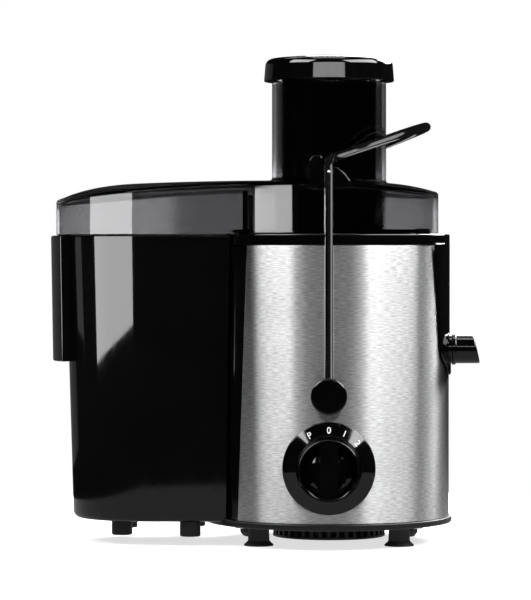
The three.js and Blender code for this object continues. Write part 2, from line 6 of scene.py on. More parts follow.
import bmesh
import bpy
import numpy as np
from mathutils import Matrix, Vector


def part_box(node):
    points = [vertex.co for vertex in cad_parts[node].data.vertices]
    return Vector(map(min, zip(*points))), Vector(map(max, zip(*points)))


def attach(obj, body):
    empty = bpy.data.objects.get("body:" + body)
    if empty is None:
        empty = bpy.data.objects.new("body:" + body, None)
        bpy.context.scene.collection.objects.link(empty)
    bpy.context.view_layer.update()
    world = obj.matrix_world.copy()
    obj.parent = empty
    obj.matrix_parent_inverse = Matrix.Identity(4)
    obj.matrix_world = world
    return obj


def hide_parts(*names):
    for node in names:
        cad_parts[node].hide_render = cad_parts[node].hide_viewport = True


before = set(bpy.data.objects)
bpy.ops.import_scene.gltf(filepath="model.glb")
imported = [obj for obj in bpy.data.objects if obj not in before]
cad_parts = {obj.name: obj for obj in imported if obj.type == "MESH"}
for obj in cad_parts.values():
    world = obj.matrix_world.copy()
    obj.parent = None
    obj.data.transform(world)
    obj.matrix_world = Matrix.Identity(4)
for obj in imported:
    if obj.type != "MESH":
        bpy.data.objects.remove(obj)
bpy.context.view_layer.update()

# %% [markdown]
# ## Measuring the frame
# All the round shells share the motor's axis, so shapes are worked out in millimetres from that axis,
# with z up from the table. A few sizes are read back from the frame, so that a shell always fits.

# %% Axis and main sizes, in millimetres
MM = 0.001


def span(node):
    """Lowest and highest corner of a node in millimetres, counted from the motor axis."""
    low, high = (np.array(corner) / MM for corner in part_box(node))
    return low - AXIS, high - AXIS


AXIS = np.zeros(3)
shaft_low, shaft_high = span("motor_shaft")
AXIS = np.array([(shaft_low[0] + shaft_high[0]) / 2, (shaft_low[1] + shaft_high[1]) / 2, 0.0])

wrap_radius = span("steel_wrap")[1][1]
plate_radius = span("base_plate")[1][0]
pusher_radius = span("pusher_body")[1][0]
cap_radius, cap_top = span("pusher_cap")[1][[0, 2]]
bin_top = 201.2
print("axis at", AXIS.round(2), "wrap radius", round(float(wrap_radius), 2))

# %% [markdown]
# ## Tools for surfaces
# A moulded shell is a grid: rows follow its section, columns go round its plan. One helper turns a grid
# of points into a mesh, one rounds the corners of a section, and one spins a section round an axis.
# Sculpting would give the same shapes, but a grid keeps every size exact.

# %% Grid to mesh
def build(name, verts, faces, material, body, slot, stands_for=(), sharp=35):
    """Makes a mesh object from millimetre points, welds its seams, and ties it to a body; the slot argument is not
    used.
    """
    mesh = bpy.data.meshes.new(name)
    corners = [list(dict.fromkeys(map(int, face))) for face in faces]
    mesh.from_pydata((np.asarray(verts) + AXIS) * MM, [], corners)
    welded = bmesh.new()
    welded.from_mesh(mesh)
    bmesh.ops.remove_doubles(welded, verts=welded.verts, dist=1e-6)
    bmesh.ops.dissolve_degenerate(welded, dist=1e-7, edges=welded.edges)
    bmesh.ops.recalc_face_normals(welded, faces=welded.faces)
    welded.to_mesh(mesh)
    welded.free()
    mesh.shade_smooth()
    mesh.set_sharp_from_angle(angle=np.radians(sharp))
    mesh.materials.append(material)
    piece = bpy.data.objects.new(name, mesh)
    bpy.context.collection.objects.link(piece)
    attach(piece, body)
    if stands_for:
        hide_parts(*stands_for)
    even = piece.modifiers.new("even_shading", "WEIGHTED_NORMAL")
    even.keep_sharp = True
    return piece


def grid_faces(rows, cols, ring=True, tube=False):
    """Quads between neighbouring rows and columns; ring closes the columns, tube closes the rows."""
    r = np.arange(rows if tube else rows - 1)
    c = np.arange(cols if ring else cols - 1)
    r0, c0 = np.meshgrid(r, c, indexing="ij")
    r1, c1 = (r0 + 1) % rows, (c0 + 1) % cols
    quads = np.stack([r0 * cols + c0, r0 * cols + c1, r1 * cols + c1, r1 * cols + c0], axis=-1)
    return quads.reshape(-1, 4)


def turned(points, angle):
    """Points turned about the z axis; with an array of angles, one copy of them for each angle."""
    angle = np.asarray(angle, float)[..., None]
    x, y, z = np.moveaxis(np.asarray(points, float), -1, 0)
    spun_x, spun_y = x * np.cos(angle) - y * np.sin(angle), x * np.sin(angle) + y * np.cos(angle)
    return np.stack([spun_x, spun_y, np.broadcast_to(z, spun_x.shape)], axis=-1).reshape(-1, 3)


def repeated(faces, points_each, count):
    """The faces of several copies of one shell."""
    return (faces + points_each * np.arange(count)[:, None, None]).reshape(-1, faces.shape[1])


def merge_parts(parts):
    """Stacks several (points, quads) shells into one list of points and one of quads."""
    points, quads, start = [], [], 0
    for part_points, part_quads in parts:
        part_points = np.asarray(part_points).reshape(-1, 3)
        points.append(part_points)
        quads.append(np.asarray(part_quads) + start)
        start += len(part_points)
    return np.concatenate(points), np.concatenate(quads)


# %% Rounded sections
def rounded(corners, radius, steps=5, closed=False):
    """Replaces each corner of a polyline with an arc of the given radius, tangent to both sides."""
    corners = np.asarray(corners, float)
    radii = np.broadcast_to(radius, len(corners)).astype(float)
    out = []
    for i, (corner, r) in enumerate(zip(corners, radii)):
        at_end = not closed and i in (0, len(corners) - 1)
        before, after = corners[i - 1] - corner, corners[(i + 1) % len(corners)] - corner
        if at_end or r <= 0:
            out.append(corner[None])
            continue
        d0, d1 = before / np.linalg.norm(before), after / np.linalg.norm(after)
        half = np.arccos(np.clip(d0 @ d1, -1, 1)) / 2
        if np.cos(half) < 0.01:
            out.append(corner[None])
            continue
        reach = min(r / np.tan(half), 0.49 * np.linalg.norm(before), 0.49 * np.linalg.norm(after))
        centre = corner + (d0 + d1) / np.linalg.norm(d0 + d1) * reach / np.cos(half)
        start, end = corner + d0 * reach - centre, corner + d1 * reach - centre
        turn = np.arccos(np.clip(start @ end / (start @ start), -1, 1))
        t = np.linspace(0, 1, steps + 1)[:, None]
        out.append(centre + (np.sin((1 - t) * turn) * start + np.sin(t * turn) * end) / np.sin(turn))
    return np.concatenate(out)


def spin(section, cols=128):
    """A section of (radius, height) points carried round the z axis, as points and quads."""
    section = np.asarray(section, float)
    angle = np.linspace(0, 2 * np.pi, cols, endpoint=False)
    x = section[:, :1] * np.cos(angle)
    y = section[:, :1] * np.sin(angle)
    z = np.repeat(section[:, 1:], cols, axis=1)
    closed = np.all(section[0] == section[-1]) and section[0, 0] > 0
    rows = len(section) - 1 if closed else len(section)
    points = np.stack([x, y, z], axis=-1)[:rows]
    return points.reshape(-1, 3), grid_faces(rows, cols, ring=True, tube=bool(closed))


def ring_section(corners, radius, steps=4):
    """A closed section with rounded corners, its last point repeated so that spin closes it."""
    section = rounded(corners, radius, steps, closed=True)
    return np.vstack([section, section[:1]])


def outward(points, side, height):
    """Turns a shape spun round z so that its axis points to -y (side -1) or +y, and lifts it."""
    x, y, z = points.T
    return np.stack([x, side * z, height - side * y], axis=1)


def circle(cx, cy, radius, start, stop, count, end=True):
    """Points on an arc between two angles in degrees."""
    angle = np.radians(np.linspace(start, stop, count, endpoint=end))
    return np.stack([cx + radius * np.cos(angle), cy + radius * np.sin(angle)], axis=1)


def joined(first, second, count):
    """Two arcs joined by straight sides, with a number of points on each side, into one closed outline."""
    t = np.linspace(0, 1, count + 2)[1:-1, None]
    return np.concatenate([first, first[-1] + t * (second[0] - first[-1]),
                           second, second[-1] + t * (first[0] - second[-1])])


def with_height(xy, z):
    """Plan points with a height, or a height each."""
    return np.column_stack([xy, np.broadcast_to(z, len(xy))])


# %% [markdown]
# ## Finishes
# Black injection-moulded plastic is never one flat black: it has faint flow marks, fine hairlines from
# wiping, and dust. Each finish starts from Object coordinates, so the pattern keeps its real scale, and
# noise drives its colour, roughness and bump by small amounts.

# %% Finish helpers
def new_finish(name, **sockets):
    """A Principled material whose constant values sit on the shader's own sockets."""
    material = bpy.data.materials.new(name)
    material.use_nodes = True
    shader = material.node_tree.nodes["Principled BSDF"]
    for socket, value in sockets.items():
        shader.inputs[socket.replace("_", " ")].default_value = value
    return material, material.node_tree, shader


def add_noise(tree, scale, detail=4.0, stretch=(1, 1, 1), source=None):
    """Noise on Object coordinates; scale is in waves per metre, stretch squeezes it along an axis."""
    if source is None:
        source = tree.nodes.new("ShaderNodeTexCoord").outputs["Object"]
    mapping = tree.nodes.new("ShaderNodeMapping")
    mapping.inputs["Scale"].default_value = stretch
    noise = tree.nodes.new("ShaderNodeTexNoise")
    noise.inputs["Scale"].default_value = scale
    noise.inputs["Detail"].default_value = detail
    tree.links.new(source, mapping.inputs["Vector"])
    tree.links.new(mapping.outputs["Vector"], noise.inputs["Vector"])
    return noise.outputs["Fac"]


def map_range(tree, value, low, high, from_low=0.3, from_high=0.7):
    """Rescales a noise value to a range."""
    node = tree.nodes.new("ShaderNodeMapRange")
    for socket, number in zip(("From Min", "From Max", "To Min", "To Max"), (from_low, from_high, low, high)):
        node.inputs[socket].default_value = number
    tree.links.new(value, node.inputs["Value"])
    return node.outputs["Result"]


def mix_colour(tree, factor, first, second):
    """Blends two colours by a factor."""
    node = tree.nodes.new("ShaderNodeMix")
    node.data_type = "RGBA"
    node.inputs[6].default_value = (*first, 1)
    node.inputs[7].default_value = (*second, 1)
    tree.links.new(factor, node.inputs[0])
    return node.outputs[2]


def add_bump(tree, height, shader, strength, distance=0.0002):
    """Feeds a height into the shader's normal."""
    node = tree.nodes.new("ShaderNodeBump")
    node.inputs["Strength"].default_value = strength
    node.inputs["Distance"].default_value = distance
    tree.links.new(height, node.inputs["Height"])
    tree.links.new(node.outputs["Normal"], shader.inputs["Normal"])


# %% Moulded plastics and rubber
def moulded(name, dark, light, rough, grain, grain_strength, specular=0.5):
    """Moulded plastic: cloudy colour, wiped hairlines in the gloss, and a fine skin."""
    material, tree, shader = new_finish(name, Specular_IOR_Level=specular)
    cloud = add_noise(tree, 35, 3)
    tree.links.new(mix_colour(tree, cloud, dark, light), shader.inputs["Base Color"])
    wipe = add_noise(tree, 260, 5, stretch=(1, 1, 0.12))
    tree.links.new(map_range(tree, wipe, rough[0], rough[1]), shader.inputs["Roughness"])
    add_bump(tree, add_noise(tree, grain, 3), shader, grain_strength, 0.0001)
    return material


gloss_black = moulded("gloss black", (0.0006, 0.0006, 0.0007), (0.0014, 0.0014, 0.0015), (0.04, 0.08), 90, 0.02)
satin_black = moulded("satin black", (0.003, 0.003, 0.0032), (0.007, 0.007, 0.0072), (0.3, 0.42), 1400, 0.12,
                      specular=0.35)
rubber = moulded("foot rubber", (0.008, 0.008, 0.008), (0.02, 0.02, 0.019), (0.55, 0.75), 900, 0.3)
nylon = moulded("ivory nylon", (0.45, 0.42, 0.35), (0.55, 0.52, 0.45), (0.4, 0.55), 700, 0.15)

# %% [markdown]
# ## Smoke plastic
# The lid and chute are clear plastic with a dark tint. Light has to pass through it, so the shader
# transmits, and its dark colour stands for the tint.

# %% Smoke plastic
smoke, smoke_tree, smoke_shader = new_finish(
    "smoke plastic", Roughness=0.05, IOR=1.52, Transmission_Weight=1.0, Specular_IOR_Level=0.5)
smoke_cloud = add_noise(smoke_tree, 18, 2)
smoke_tree.links.new(
    mix_colour(smoke_tree, smoke_cloud, (0.20, 0.20, 0.205), (0.235, 0.235, 0.24)), smoke_shader.inputs["Base Color"])
smoke_wipe = add_noise(smoke_tree, 150, 4, stretch=(1, 1, 0.2))
smoke_tree.links.new(map_range(smoke_tree, smoke_wipe, 0.03, 0.09), smoke_shader.inputs["Roughness"])
add_bump(smoke_tree, add_noise(smoke_tree, 60, 2), smoke_shader, 0.03, 0.0001)

# %% [markdown]
# ## Brushed steel
# The wrap is brushed round the base, so its scratches are long and level. The finish turns Object
# coordinates into an angle round the axis and a height, and draws noise that changes fast with height
# and slowly with angle.

# %% Brushed steel and other metals
def round_axis_coords(tree, squeeze):
    """Object coordinates as (arc length round the motor axis, 0, height), the arc squeezed to stretch marks."""
    def math(operation, first, second=None):
        node = tree.nodes.new("ShaderNodeMath")
        node.operation = operation
        for slot_index, value in enumerate((first, second)):
            if value is None:
                continue
            if isinstance(value, float):
                node.inputs[slot_index].default_value = value
            else:
                tree.links.new(value, node.inputs[slot_index])
        return node.outputs[0]

    split = tree.nodes.new("ShaderNodeSeparateXYZ")
    tree.links.new(tree.nodes.new("ShaderNodeTexCoord").outputs["Object"], split.inputs[0])
    x = math("SUBTRACT", split.outputs["X"], float(AXIS[0] * MM))
    y = math("SUBTRACT", split.outputs["Y"], float(AXIS[1] * MM))
    arc_length = math("MULTIPLY", math("ARCTAN2", y, x), float(wrap_radius * MM * squeeze))
    join = tree.nodes.new("ShaderNodeCombineXYZ")
    tree.links.new(arc_length, join.inputs["X"])
    tree.links.new(split.outputs["Z"], join.inputs["Z"])
    return join.outputs["Vector"]


def brushed(name, dark, light, rough, squeeze=0.02, scale=2600, bump=0.25, anisotropic=0.6):
    """Sheet steel with fine level scratches."""
    material, tree, shader = new_finish(name, Metallic=1.0, Anisotropic=anisotropic, Anisotropic_Rotation=0.25)
    coords = round_axis_coords(tree, squeeze)
    lines = add_noise(tree, scale, 6, source=coords)
    patches = add_noise(tree, 55, 3, source=coords)
    tree.links.new(mix_colour(tree, map_range(tree, lines, 0.0, 1.0), dark, light), shader.inputs["Base Color"])
    tree.links.new(map_range(tree, patches, rough[0], rough[1]), shader.inputs["Roughness"])
    add_bump(tree, lines, shader, bump, 0.00003)
    return material


wrap_steel = brushed("brushed wrap steel", (0.38, 0.38, 0.383), (0.76, 0.76, 0.763), (0.295, 0.32), squeeze=0.12,
                     scale=1700, bump=0.25, anisotropic=1.0)
basket_steel = brushed("basket steel", (0.50, 0.50, 0.50), (0.66, 0.66, 0.66), (0.2, 0.32), squeeze=0.4, scale=900)
core_steel = brushed("laminated steel", (0.12, 0.12, 0.125), (0.25, 0.25, 0.255), (0.4, 0.55), squeeze=0.01)
copper = brushed("winding copper", (0.38, 0.13, 0.05), (0.62, 0.25, 0.1), (0.3, 0.45), squeeze=0.05, scale=1500)


def plated(name):
    """Chrome plate: bright, with faint waves and wiped marks."""
    material, tree, shader = new_finish(name, Metallic=1.0)
    wave = add_noise(tree, 45, 2)
    tree.links.new(mix_colour(tree, wave, (0.72, 0.72, 0.74), (0.82, 0.82, 0.84)), shader.inputs["Base Color"])
    wipe = add_noise(tree, 300, 4)
    tree.links.new(map_range(tree, wipe, 0.05, 0.14), shader.inputs["Roughness"])
    add_bump(tree, wave, shader, 0.03, 0.0002)
    return material


chrome = plated("bright chrome")
white_mark, mark_tree, mark_shader = new_finish("printed white", Roughness=0.45)
mark_tree.links.new(
    mix_colour(mark_tree, add_noise(mark_tree, 900, 3), (0.75, 0.75, 0.75), (0.85, 0.85, 0.85)),
    mark_shader.inputs["Base Color"])

# %% [markdown]
# ## Hidden machinery
# The motor, switches and bearings keep their frame shapes and only need honest finishes, because they
# show only when the machine is opened.

# %% Dress the frame's own pieces
kept_finishes = {
    core_steel: ["stator_core", "lower_bracket", "upper_bracket", "armature"],
    copper: ["field_coil_left", "field_coil_right", "commutator"],
    chrome: ["lower_bearing", "upper_bearing", "motor_shaft", "retaining_clip_front", "retaining_clip_rear",
             "base_screw_1", "base_screw_2", "base_screw_3", "base_screw_4"],
    nylon: ["brush_holder_left", "brush_holder_right", "rotary_switch", "interlock_switch", "switch_shaft",
            "pivot_bushing_front", "pivot_bushing_rear"],
    rubber: ["shaft_seal"],
    satin_black: ["cooling_fan", "drive_coupling"],
}
for finish, nodes in kept_finishes.items():
    for node in nodes:
        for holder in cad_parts[node].material_slots:
            holder.material = finish
print("dressed", sum(map(len, kept_finishes.values())), "frame pieces")

# %% [markdown]
# ## Motor housing
# The housing is one black moulding. Most of it hides behind the steel wrap; its bare strip faces the
# pulp container, and two small catches on that strip hold the container's corners.

# %% Housing
shell_radius, shell_wall, shell_foot, housing_top = 77.7, 2.5, 17.3, 194.0
deck_low, deck_high, deck_hole = 109.0, 112.0, 14.0
gap_floor, gap_bend = 115, 126
inner_radius = shell_radius - shell_wall
housing_section = ring_section(
    [(shell_radius, shell_foot), (shell_radius, housing_top), (inner_radius, housing_top), (inner_radius, deck_high),
     (deck_hole, deck_high), (deck_hole, deck_low), (inner_radius, deck_low), (inner_radius, shell_foot)], 0.5, 2)


def slot_half(z, grow=0.0):
    """Half width of the U-shaped gap at a height: straight sloping sides above a rounded floor."""
    straight = 28 + 9 * (z - gap_bend) / 70
    t = np.clip((z - gap_floor) / (gap_bend - gap_floor), 0, 1)
    curved = 16 + 12 * np.sin(t * np.pi / 2) ** 0.8
    return np.where(z > gap_bend, straight, curved) + grow


def bent_face(radius, left, right, z, share):
    """Rows of a bent face: each spreads its points between a left and a right angle, in degrees, at its height."""
    start, stop = left(z)[:, None], right(z)[:, None]
    angle = np.radians(start + (stop - start) * share)
    return np.stack([radius * np.cos(angle), radius * np.sin(angle), np.repeat(z[:, None], len(share), axis=1)],
                    axis=-1)


def arc_wall(radius, thickness, left, right, z_rows, cols=64):
    """A bent sheet between two angles that may change with height."""
    share = np.linspace(0, 1, cols)
    points = np.concatenate([bent_face(radius, left, right, z_rows, share),
                             bent_face(radius - thickness, left, right, z_rows[::-1], share)])
    quads = grid_faces(len(points), cols, ring=False, tube=True)
    outer = len(z_rows)
    r = np.arange(outer - 1)
    pair = 2 * outer - 1 - r
    ends = [np.stack([r * cols + c, (r + 1) * cols + c, (pair - 1) * cols + c, pair * cols + c], axis=1)
            for c in (0, cols - 1)]
    return points.reshape(-1, 3), np.concatenate([quads, *ends])


def wrap_edge(z):
    """Angle of the wrap's slanted rear edge at a height, in degrees from +x."""
    x = -59 + (z - 17) * 6.4 / 177.8
    return np.degrees(np.arccos(x / wrap_radius))


z_housing = np.linspace(shell_foot, housing_top, 24)
bare_strip = arc_wall(wrap_radius, 3.6, lambda z: wrap_edge(z) + 0.4, lambda z: 360 - wrap_edge(z) - 0.4, z_housing)


def box_shell(low, high):
    """The eight corners and six faces of a block."""
    corners = np.array([[x, y, z] for z in (low[2], high[2]) for y in (low[1], high[1]) for x in (low[0], high[0])])
    faces = [[0, 2, 3, 1], [4, 5, 7, 6], [0, 1, 5, 4], [2, 6, 7, 3], [0, 4, 6, 2], [1, 3, 7, 5]]
    return corners, np.array(faces)


catches = [box_shell((-63, y, 184), (-53, y + 6, 193)) for y in (-57, 51)]
housing = build("housing_shell", *merge_parts([spin(housing_section, 160), bare_strip, *catches]),
                gloss_black, "base", "gloss_black", ["motor_housing"], sharp=30)
print("housing", len(housing.data.polygons), "faces")

# %% [markdown]
# ## Steel wrap
# A real wrap is a flat blank, brushed, cut and rolled. It is built as three bent patches that share
# their edges: one in front, one behind, and one below the apron's gap that joins them.

# %% Wrap
gap_clear = 0.4
z_wrap = np.unique(np.concatenate([
    [shell_foot, shell_foot + 0.3], np.linspace(19, gap_floor, 20), np.linspace(gap_floor, gap_bend, 12),
    np.linspace(gap_bend, 193, 20), [194.2, 194.5]]))


def gap_angle(z):
    """Angle of the gap's edge at a height, in degrees from +x."""
    return np.degrees(np.arcsin(slot_half(z, gap_clear) / wrap_radius))


def wrap_patch(left, right, z_rows, cols):
    """Outer face of one bent patch of the wrap."""
    share = np.concatenate([[0, 0.003], np.linspace(0.01, 0.99, cols - 4), [0.997, 1]])
    return bent_face(wrap_radius, left, right, z_rows, share), grid_faces(len(z_rows), cols, ring=False)


low_rows = z_wrap[z_wrap <= gap_floor]
front = wrap_patch(lambda z: -wrap_edge(z), lambda z: -gap_angle(z), z_wrap, 110)
rear = wrap_patch(gap_angle, wrap_edge, z_wrap, 110)
bridge = wrap_patch(lambda z: -gap_angle(z), gap_angle, low_rows, 24)
wrap = build("wrap_sheet", *merge_parts([front, rear, bridge]), wrap_steel, "base", "wrap_steel", ["steel_wrap"])
sheet = wrap.modifiers.new("sheet", "SOLIDIFY")
sheet.thickness = 1.0 * MM
sheet.offset = -1
print("wrap", len(wrap.data.polygons), "faces")

# %% [markdown]
# ## Base plate, air skirt and feet
# The base stands on two suction cups in front and two pads behind. Air comes up through the ribbed
# skirt, round a cup on four arms. Each is a spun section; the ribs are one block repeated round the ring.

# %% Base plate and skirt
plate_section = ring_section(
    [(37.5, 13), (plate_radius, 13), (plate_radius, 17), (74, 17), (74, 15.5), (37.5, 15.5)],
    [0.4, 1.2, 0.7, 0.3, 0.3, 0.4], 4)
build("base_plate_skin", *spin(plate_section, 180), satin_black, "base", "matte_black", ["base_plate"])

rib_count = 40
rib_points, rib_quads = box_shell((33.4, -1.1, 4.4), (36.8, 1.1, 13.4))
rib_ring = turned(rib_points, np.linspace(0, 2 * np.pi, rib_count, endpoint=False)), repeated(rib_quads, 8, rib_count)
low_hoop = spin(ring_section([(29, 3.3), (37, 3.3), (37, 5.3), (29, 5.3)], 0.5, 3), 120)
high_hoop = spin(ring_section([(33, 12.6), (37.2, 12.6), (37.2, 15.2), (33, 15.2)], 0.4, 2), 120)
cup_hoop = spin(ring_section([(25, 3.5), (26.2, 3.5), (26.2, 12.4), (25, 12.4)], 0.3, 2), 96)
arm_points, arm_quads = box_shell((25.6, -1, 3.6), (30, 1, 5.0))
arms = turned(arm_points, np.pi / 2 * np.arange(4)), repeated(arm_quads, 8, 4)
build("air_skirt", *merge_parts([low_hoop, high_hoop, cup_hoop, arms, rib_ring]), satin_black, "base",
      "matte_black", ["vent_ring"])

# %% Feet
cup_section = rounded(
    [(0, 1.2), (5.6, 1.0), (7.4, 0.02), (9.7, 0.02), (9.5, 0.9), (7.0, 3.2), (6.7, 12.7), (0, 12.7)],
    [0, 1, 0.3, 0.3, 0.5, 1.6, 0.3, 0], 4)
pad_section = rounded([(0, 0.02), (6.6, 0.02), (9, 2.8), (9, 12.7), (0, 12.7)], [0, 1.6, 2.4, 0.5, 0], 6)
feet = {"front_foot_left": (-45.5, -38, cup_section), "front_foot_right": (45.5, -38, cup_section),
        "rear_foot_left": (-50.5, 30, pad_section), "rear_foot_right": (50.5, 30, pad_section)}
for node, (x, y, section) in feet.items():
    points, quads = spin(section, 64)
    build(node + "_rubber", points + (x, y, 0), quads, rubber, "base", "foot_rubber", [node])

# %% [markdown]
# ## Juice bowl
# The bowl drops into the base. What shows is its flange ring under the lid, the apron that closes the
# gap in the base's right side, and the spout. The apron is one bent panel whose border stands proud:
# its radius is raised wherever a point lies within a band of the panel's edge.

# %% Bowl and flange
bowl_section = ring_section(
    [(20, 117), (73, 117), (73, 194.8), (79.5, 194.8), (79.5, 202), (70.8, 202), (70.8, 119.2), (22.2, 119.2),
     (22.2, 142), (20, 142)], [0.8, 3, 0.5, 0.5, 0.9, 0.8, 2.5, 2, 0.8, 0.8], 4)
apron_floor, apron_top, apron_grow = 110.0, 196.0, 5.0
border, border_raise = 9.5, 0.9


def apron_panel(rows=90, cols=72):
    """A bent panel: the angle runs across the gap's width, the height runs up, and the border is raised."""
    z = np.linspace(apron_floor, apron_top, rows)
    across = np.linspace(-1, 1, cols)
    corner = np.clip((z - apron_floor) / 7, 0, 1)
    half = slot_half(z, apron_grow) * (1 - 0.16 * (1 - np.sqrt(1 - (1 - corner) ** 2)))
    y = half[:, None] * across
    inset = np.minimum(half[:, None] * (1 - np.abs(across)), (z - apron_floor)[:, None])
    lift = border_raise / (1 + np.exp((inset - border) * 5))
    edge = np.clip(inset / 0.8, 0, 1)
    radius = 79.55 + lift - 0.5 * (1 - np.sqrt(1 - (1 - edge) ** 2))
    angle = np.arcsin(y / radius)
    points = np.stack([radius * np.cos(angle), y, np.repeat(z[:, None], cols, axis=1)], axis=-1)
    return points.reshape(-1, 3), grid_faces(rows, cols, ring=False)


apron = build("bowl_apron", *apron_panel(), gloss_black, "base", "gloss_black", ["juice_bowl"])
thick = apron.modifiers.new("thick", "SOLIDIFY")
thick.thickness = 0.25 * MM
thick.offset = -1
lug_points, lug_quads = box_shell((75.5, -5.5, 201), (78.9, 5.5, 205.4))
lug = turned(lug_points, np.radians(-38.5)), lug_quads
build("bowl_shell", *merge_parts([spin(bowl_section, 200), lug]), gloss_black, "base", "gloss_black", ["juice_bowl"])

# %% Spout
spout_z, spout_tip, spout_slant = 126.6, 97.25, 0.237
spout_section = ring_section(
    [(7, 73.3), (9.5, 73.3), (9.5, 81), (10.5, 81), (10.5, 83.4), (9.6, 83.4), (9.5, spout_tip), (7, spout_tip)],
    [0.2, 0.2, 0.2, 0.6, 0.8, 0.6, 0.9, 0.9], 5)
spout_points, spout_quads = spin(spout_section, 96)
along, lift_z, side_y = spout_points[:, 2], spout_points[:, 0], spout_points[:, 1]
lean = np.clip((along - 86) / (spout_tip - 86), 0, 1)
spout_xyz = np.stack([along - lean * spout_slant * lift_z, side_y, lift_z + spout_z], axis=1)
build("spout_tube", spout_xyz, spout_quads, gloss_black, "base", "gloss_black", ["juice_spout"])

# %% [markdown]
# ## Filter basket
# Under the lid a grater disc with punched teeth sits in a cone of etched mesh, held by a black rim.
# The mesh's holes are drawn in its finish as rows of dark dots in arc length and height, since
# thousands of real holes would cost far more than they show.

# %% Basket
disc_z, mesh_low, mesh_high, mesh_top, rim_top = 163.0, 48.0, 63.5, 200.0, 205.0
mesh_finish, mesh_tree, mesh_shader = new_finish("etched mesh", Metallic=1.0, Roughness=0.3)
mesh_coords = round_axis_coords(mesh_tree, 1.0)
dots = mesh_tree.nodes.new("ShaderNodeTexVoronoi")
dots.inputs["Scale"].default_value = 900
dots.inputs["Randomness"].default_value = 0.0
mesh_tree.links.new(mesh_coords, dots.inputs["Vector"])
hole = map_range(mesh_tree, dots.outputs["Distance"], 1, 0, 0.28, 0.36)
mesh_tree.links.new(mix_colour(mesh_tree, hole, (0.62, 0.62, 0.62), (0.03, 0.03, 0.03)),
                    mesh_shader.inputs["Base Color"])
add_bump(mesh_tree, dots.outputs["Distance"], mesh_shader, 0.3, 0.0002)
cone = ring_section(
    [(mesh_low - 0.7, disc_z), (mesh_low + 1, disc_z), (mesh_high, mesh_top), (mesh_high - 1, mesh_top)], 0.2, 2)
build("mesh_cone", *spin(cone, 160), mesh_finish, "rotor", "basket_steel", ["filter_mesh"])
rim = ring_section([(61.5, 200.3), (64.3, 200.3), (64.3, 194), (65.5, 194), (65.5, rim_top), (61.5, rim_top)], 0.5, 4)
build("basket_hoop", *spin(rim, 160), gloss_black, "rotor", "gloss_black", ["basket_rim"])

disc_section = rounded([(0, 167), (9, 167), (14, 165), (47, 165), (47, 163), (16, 163), (16, 143), (12.6, 143),
                        (12.6, 150), (0, 150)], [0, 1.5, 1.5, 0.4, 0.4, 1, 0.6, 0.4, 0.4, 0], 4)
tooth_rings, teeth_per_ring, spiral = np.arange(17, 46, 3.2), 36, 0.11
tooth_r = np.repeat(tooth_rings, teeth_per_ring)
tooth_a = (np.tile(np.linspace(0, 2 * np.pi, teeth_per_ring, endpoint=False), len(tooth_rings))
           + tooth_r * spiral)
peak = np.array([[-0.7, -0.4, 0], [0.7, -0.4, 0], [0.7, 1.6, 0], [-0.7, 1.6, 0], [0, -0.2, 1.3]])
peak_faces = np.array([[0, 1, 4, 4], [1, 2, 4, 4], [2, 3, 4, 4], [3, 0, 4, 4], [3, 2, 1, 0]])
teeth = turned(peak + tooth_r[:, None, None] * (1, 0, 0) + (0, 0, 164.95), tooth_a)
build("grater", *merge_parts([spin(disc_section, 128), (teeth, repeated(peak_faces, 5, len(tooth_r)))]),
      basket_steel, "rotor", "basket_steel", ["grater_disc"])

# %% [markdown]
# ## Lid and feed chute
# The lid is one moulding: a round cover over the bowl runs into a long round-ended cover over the
# container, and the feed chute stands up through it. Its section is one closed line that climbs the
# outer wall, crosses the dome to the chute, goes up and over the chute's mouth, down its bore, and back
# under the dome. Carrying that line round the plan gives a single clear body with a true thickness.

# %% Lid plan and dome
lid_cx, lid_radius, lid_half, lid_end_x, lid_wall = -1.5, 73.5, 53.0, -127.0, 2.5
lid_bottom, lid_reach, lid_draw, lid_peak_x = 202.3, 50.0, 4.0, -35.0
chute_outer, chute_bore, chute_bottom, chute_top = 37.6, 34.3, 170.0, 302.0
arc_count, end_count, side_count = 132, 56, 22


def lid_plan(inset):
    """The lid's outline moved in: a big arc, a straight side, a slightly drawn-out round end and a side back."""
    radius, half = lid_radius - inset, lid_half - inset
    crease = np.degrees(np.pi - np.arcsin(half / radius))
    big = circle(lid_cx, 0, radius, -crease, crease, arc_count)
    end = circle(0, 0, half, 90, 270, end_count)
    end[:, 0] = lid_end_x + lid_draw + end[:, 0] - lid_draw * (-end[:, 0] / half) ** 4
    return joined(big, end, side_count)


def lid_inset(xy):
    """How far a point lies inside the outline: the deeper of its depths in the round and the long part."""
    x, y = xy[:, 0], xy[:, 1]
    in_round = lid_radius - np.hypot(x - lid_cx, y)
    past_centre = np.minimum(x - lid_end_x - lid_draw, 0) * lid_half / (lid_half + lid_draw)
    in_long = lid_half - np.hypot(past_centre, y)
    return np.maximum(in_round, np.where(x < 0, in_long, -99))


def dome(xy):
    """Height of the top over a point: edge and crown both arch lengthwise, and it rises from edge to crown."""
    away = (xy[:, 0] - lid_peak_x) ** 2
    edge, crown = 235.6 - 0.00056 * away, 237.3 - 0.00022 * away
    return crown - (crown - edge) * (1 - np.clip(lid_inset(xy), 0, lid_reach) / lid_reach) ** 2


# %% Lid body
edge_radius, fillet = 2.2, 2.0
outer_edge, inner_edge = lid_plan(edge_radius), lid_plan(lid_wall + 3.0)
bearing = np.arctan2(outer_edge[:, 1], outer_edge[:, 0])
spoke = np.stack([np.cos(bearing), np.sin(bearing)], axis=1)
quarter = np.linspace(0, np.pi / 2, 6)


def across(start, radius, steps, drop=0.0):
    """Dome rows from an outline in to a circle round the chute."""
    rows = []
    for t in np.linspace(0, 1, steps):
        xy = start * (1 - t) + spoke * radius * t
        rows.append(with_height(xy, dome(xy) - drop))
    return rows


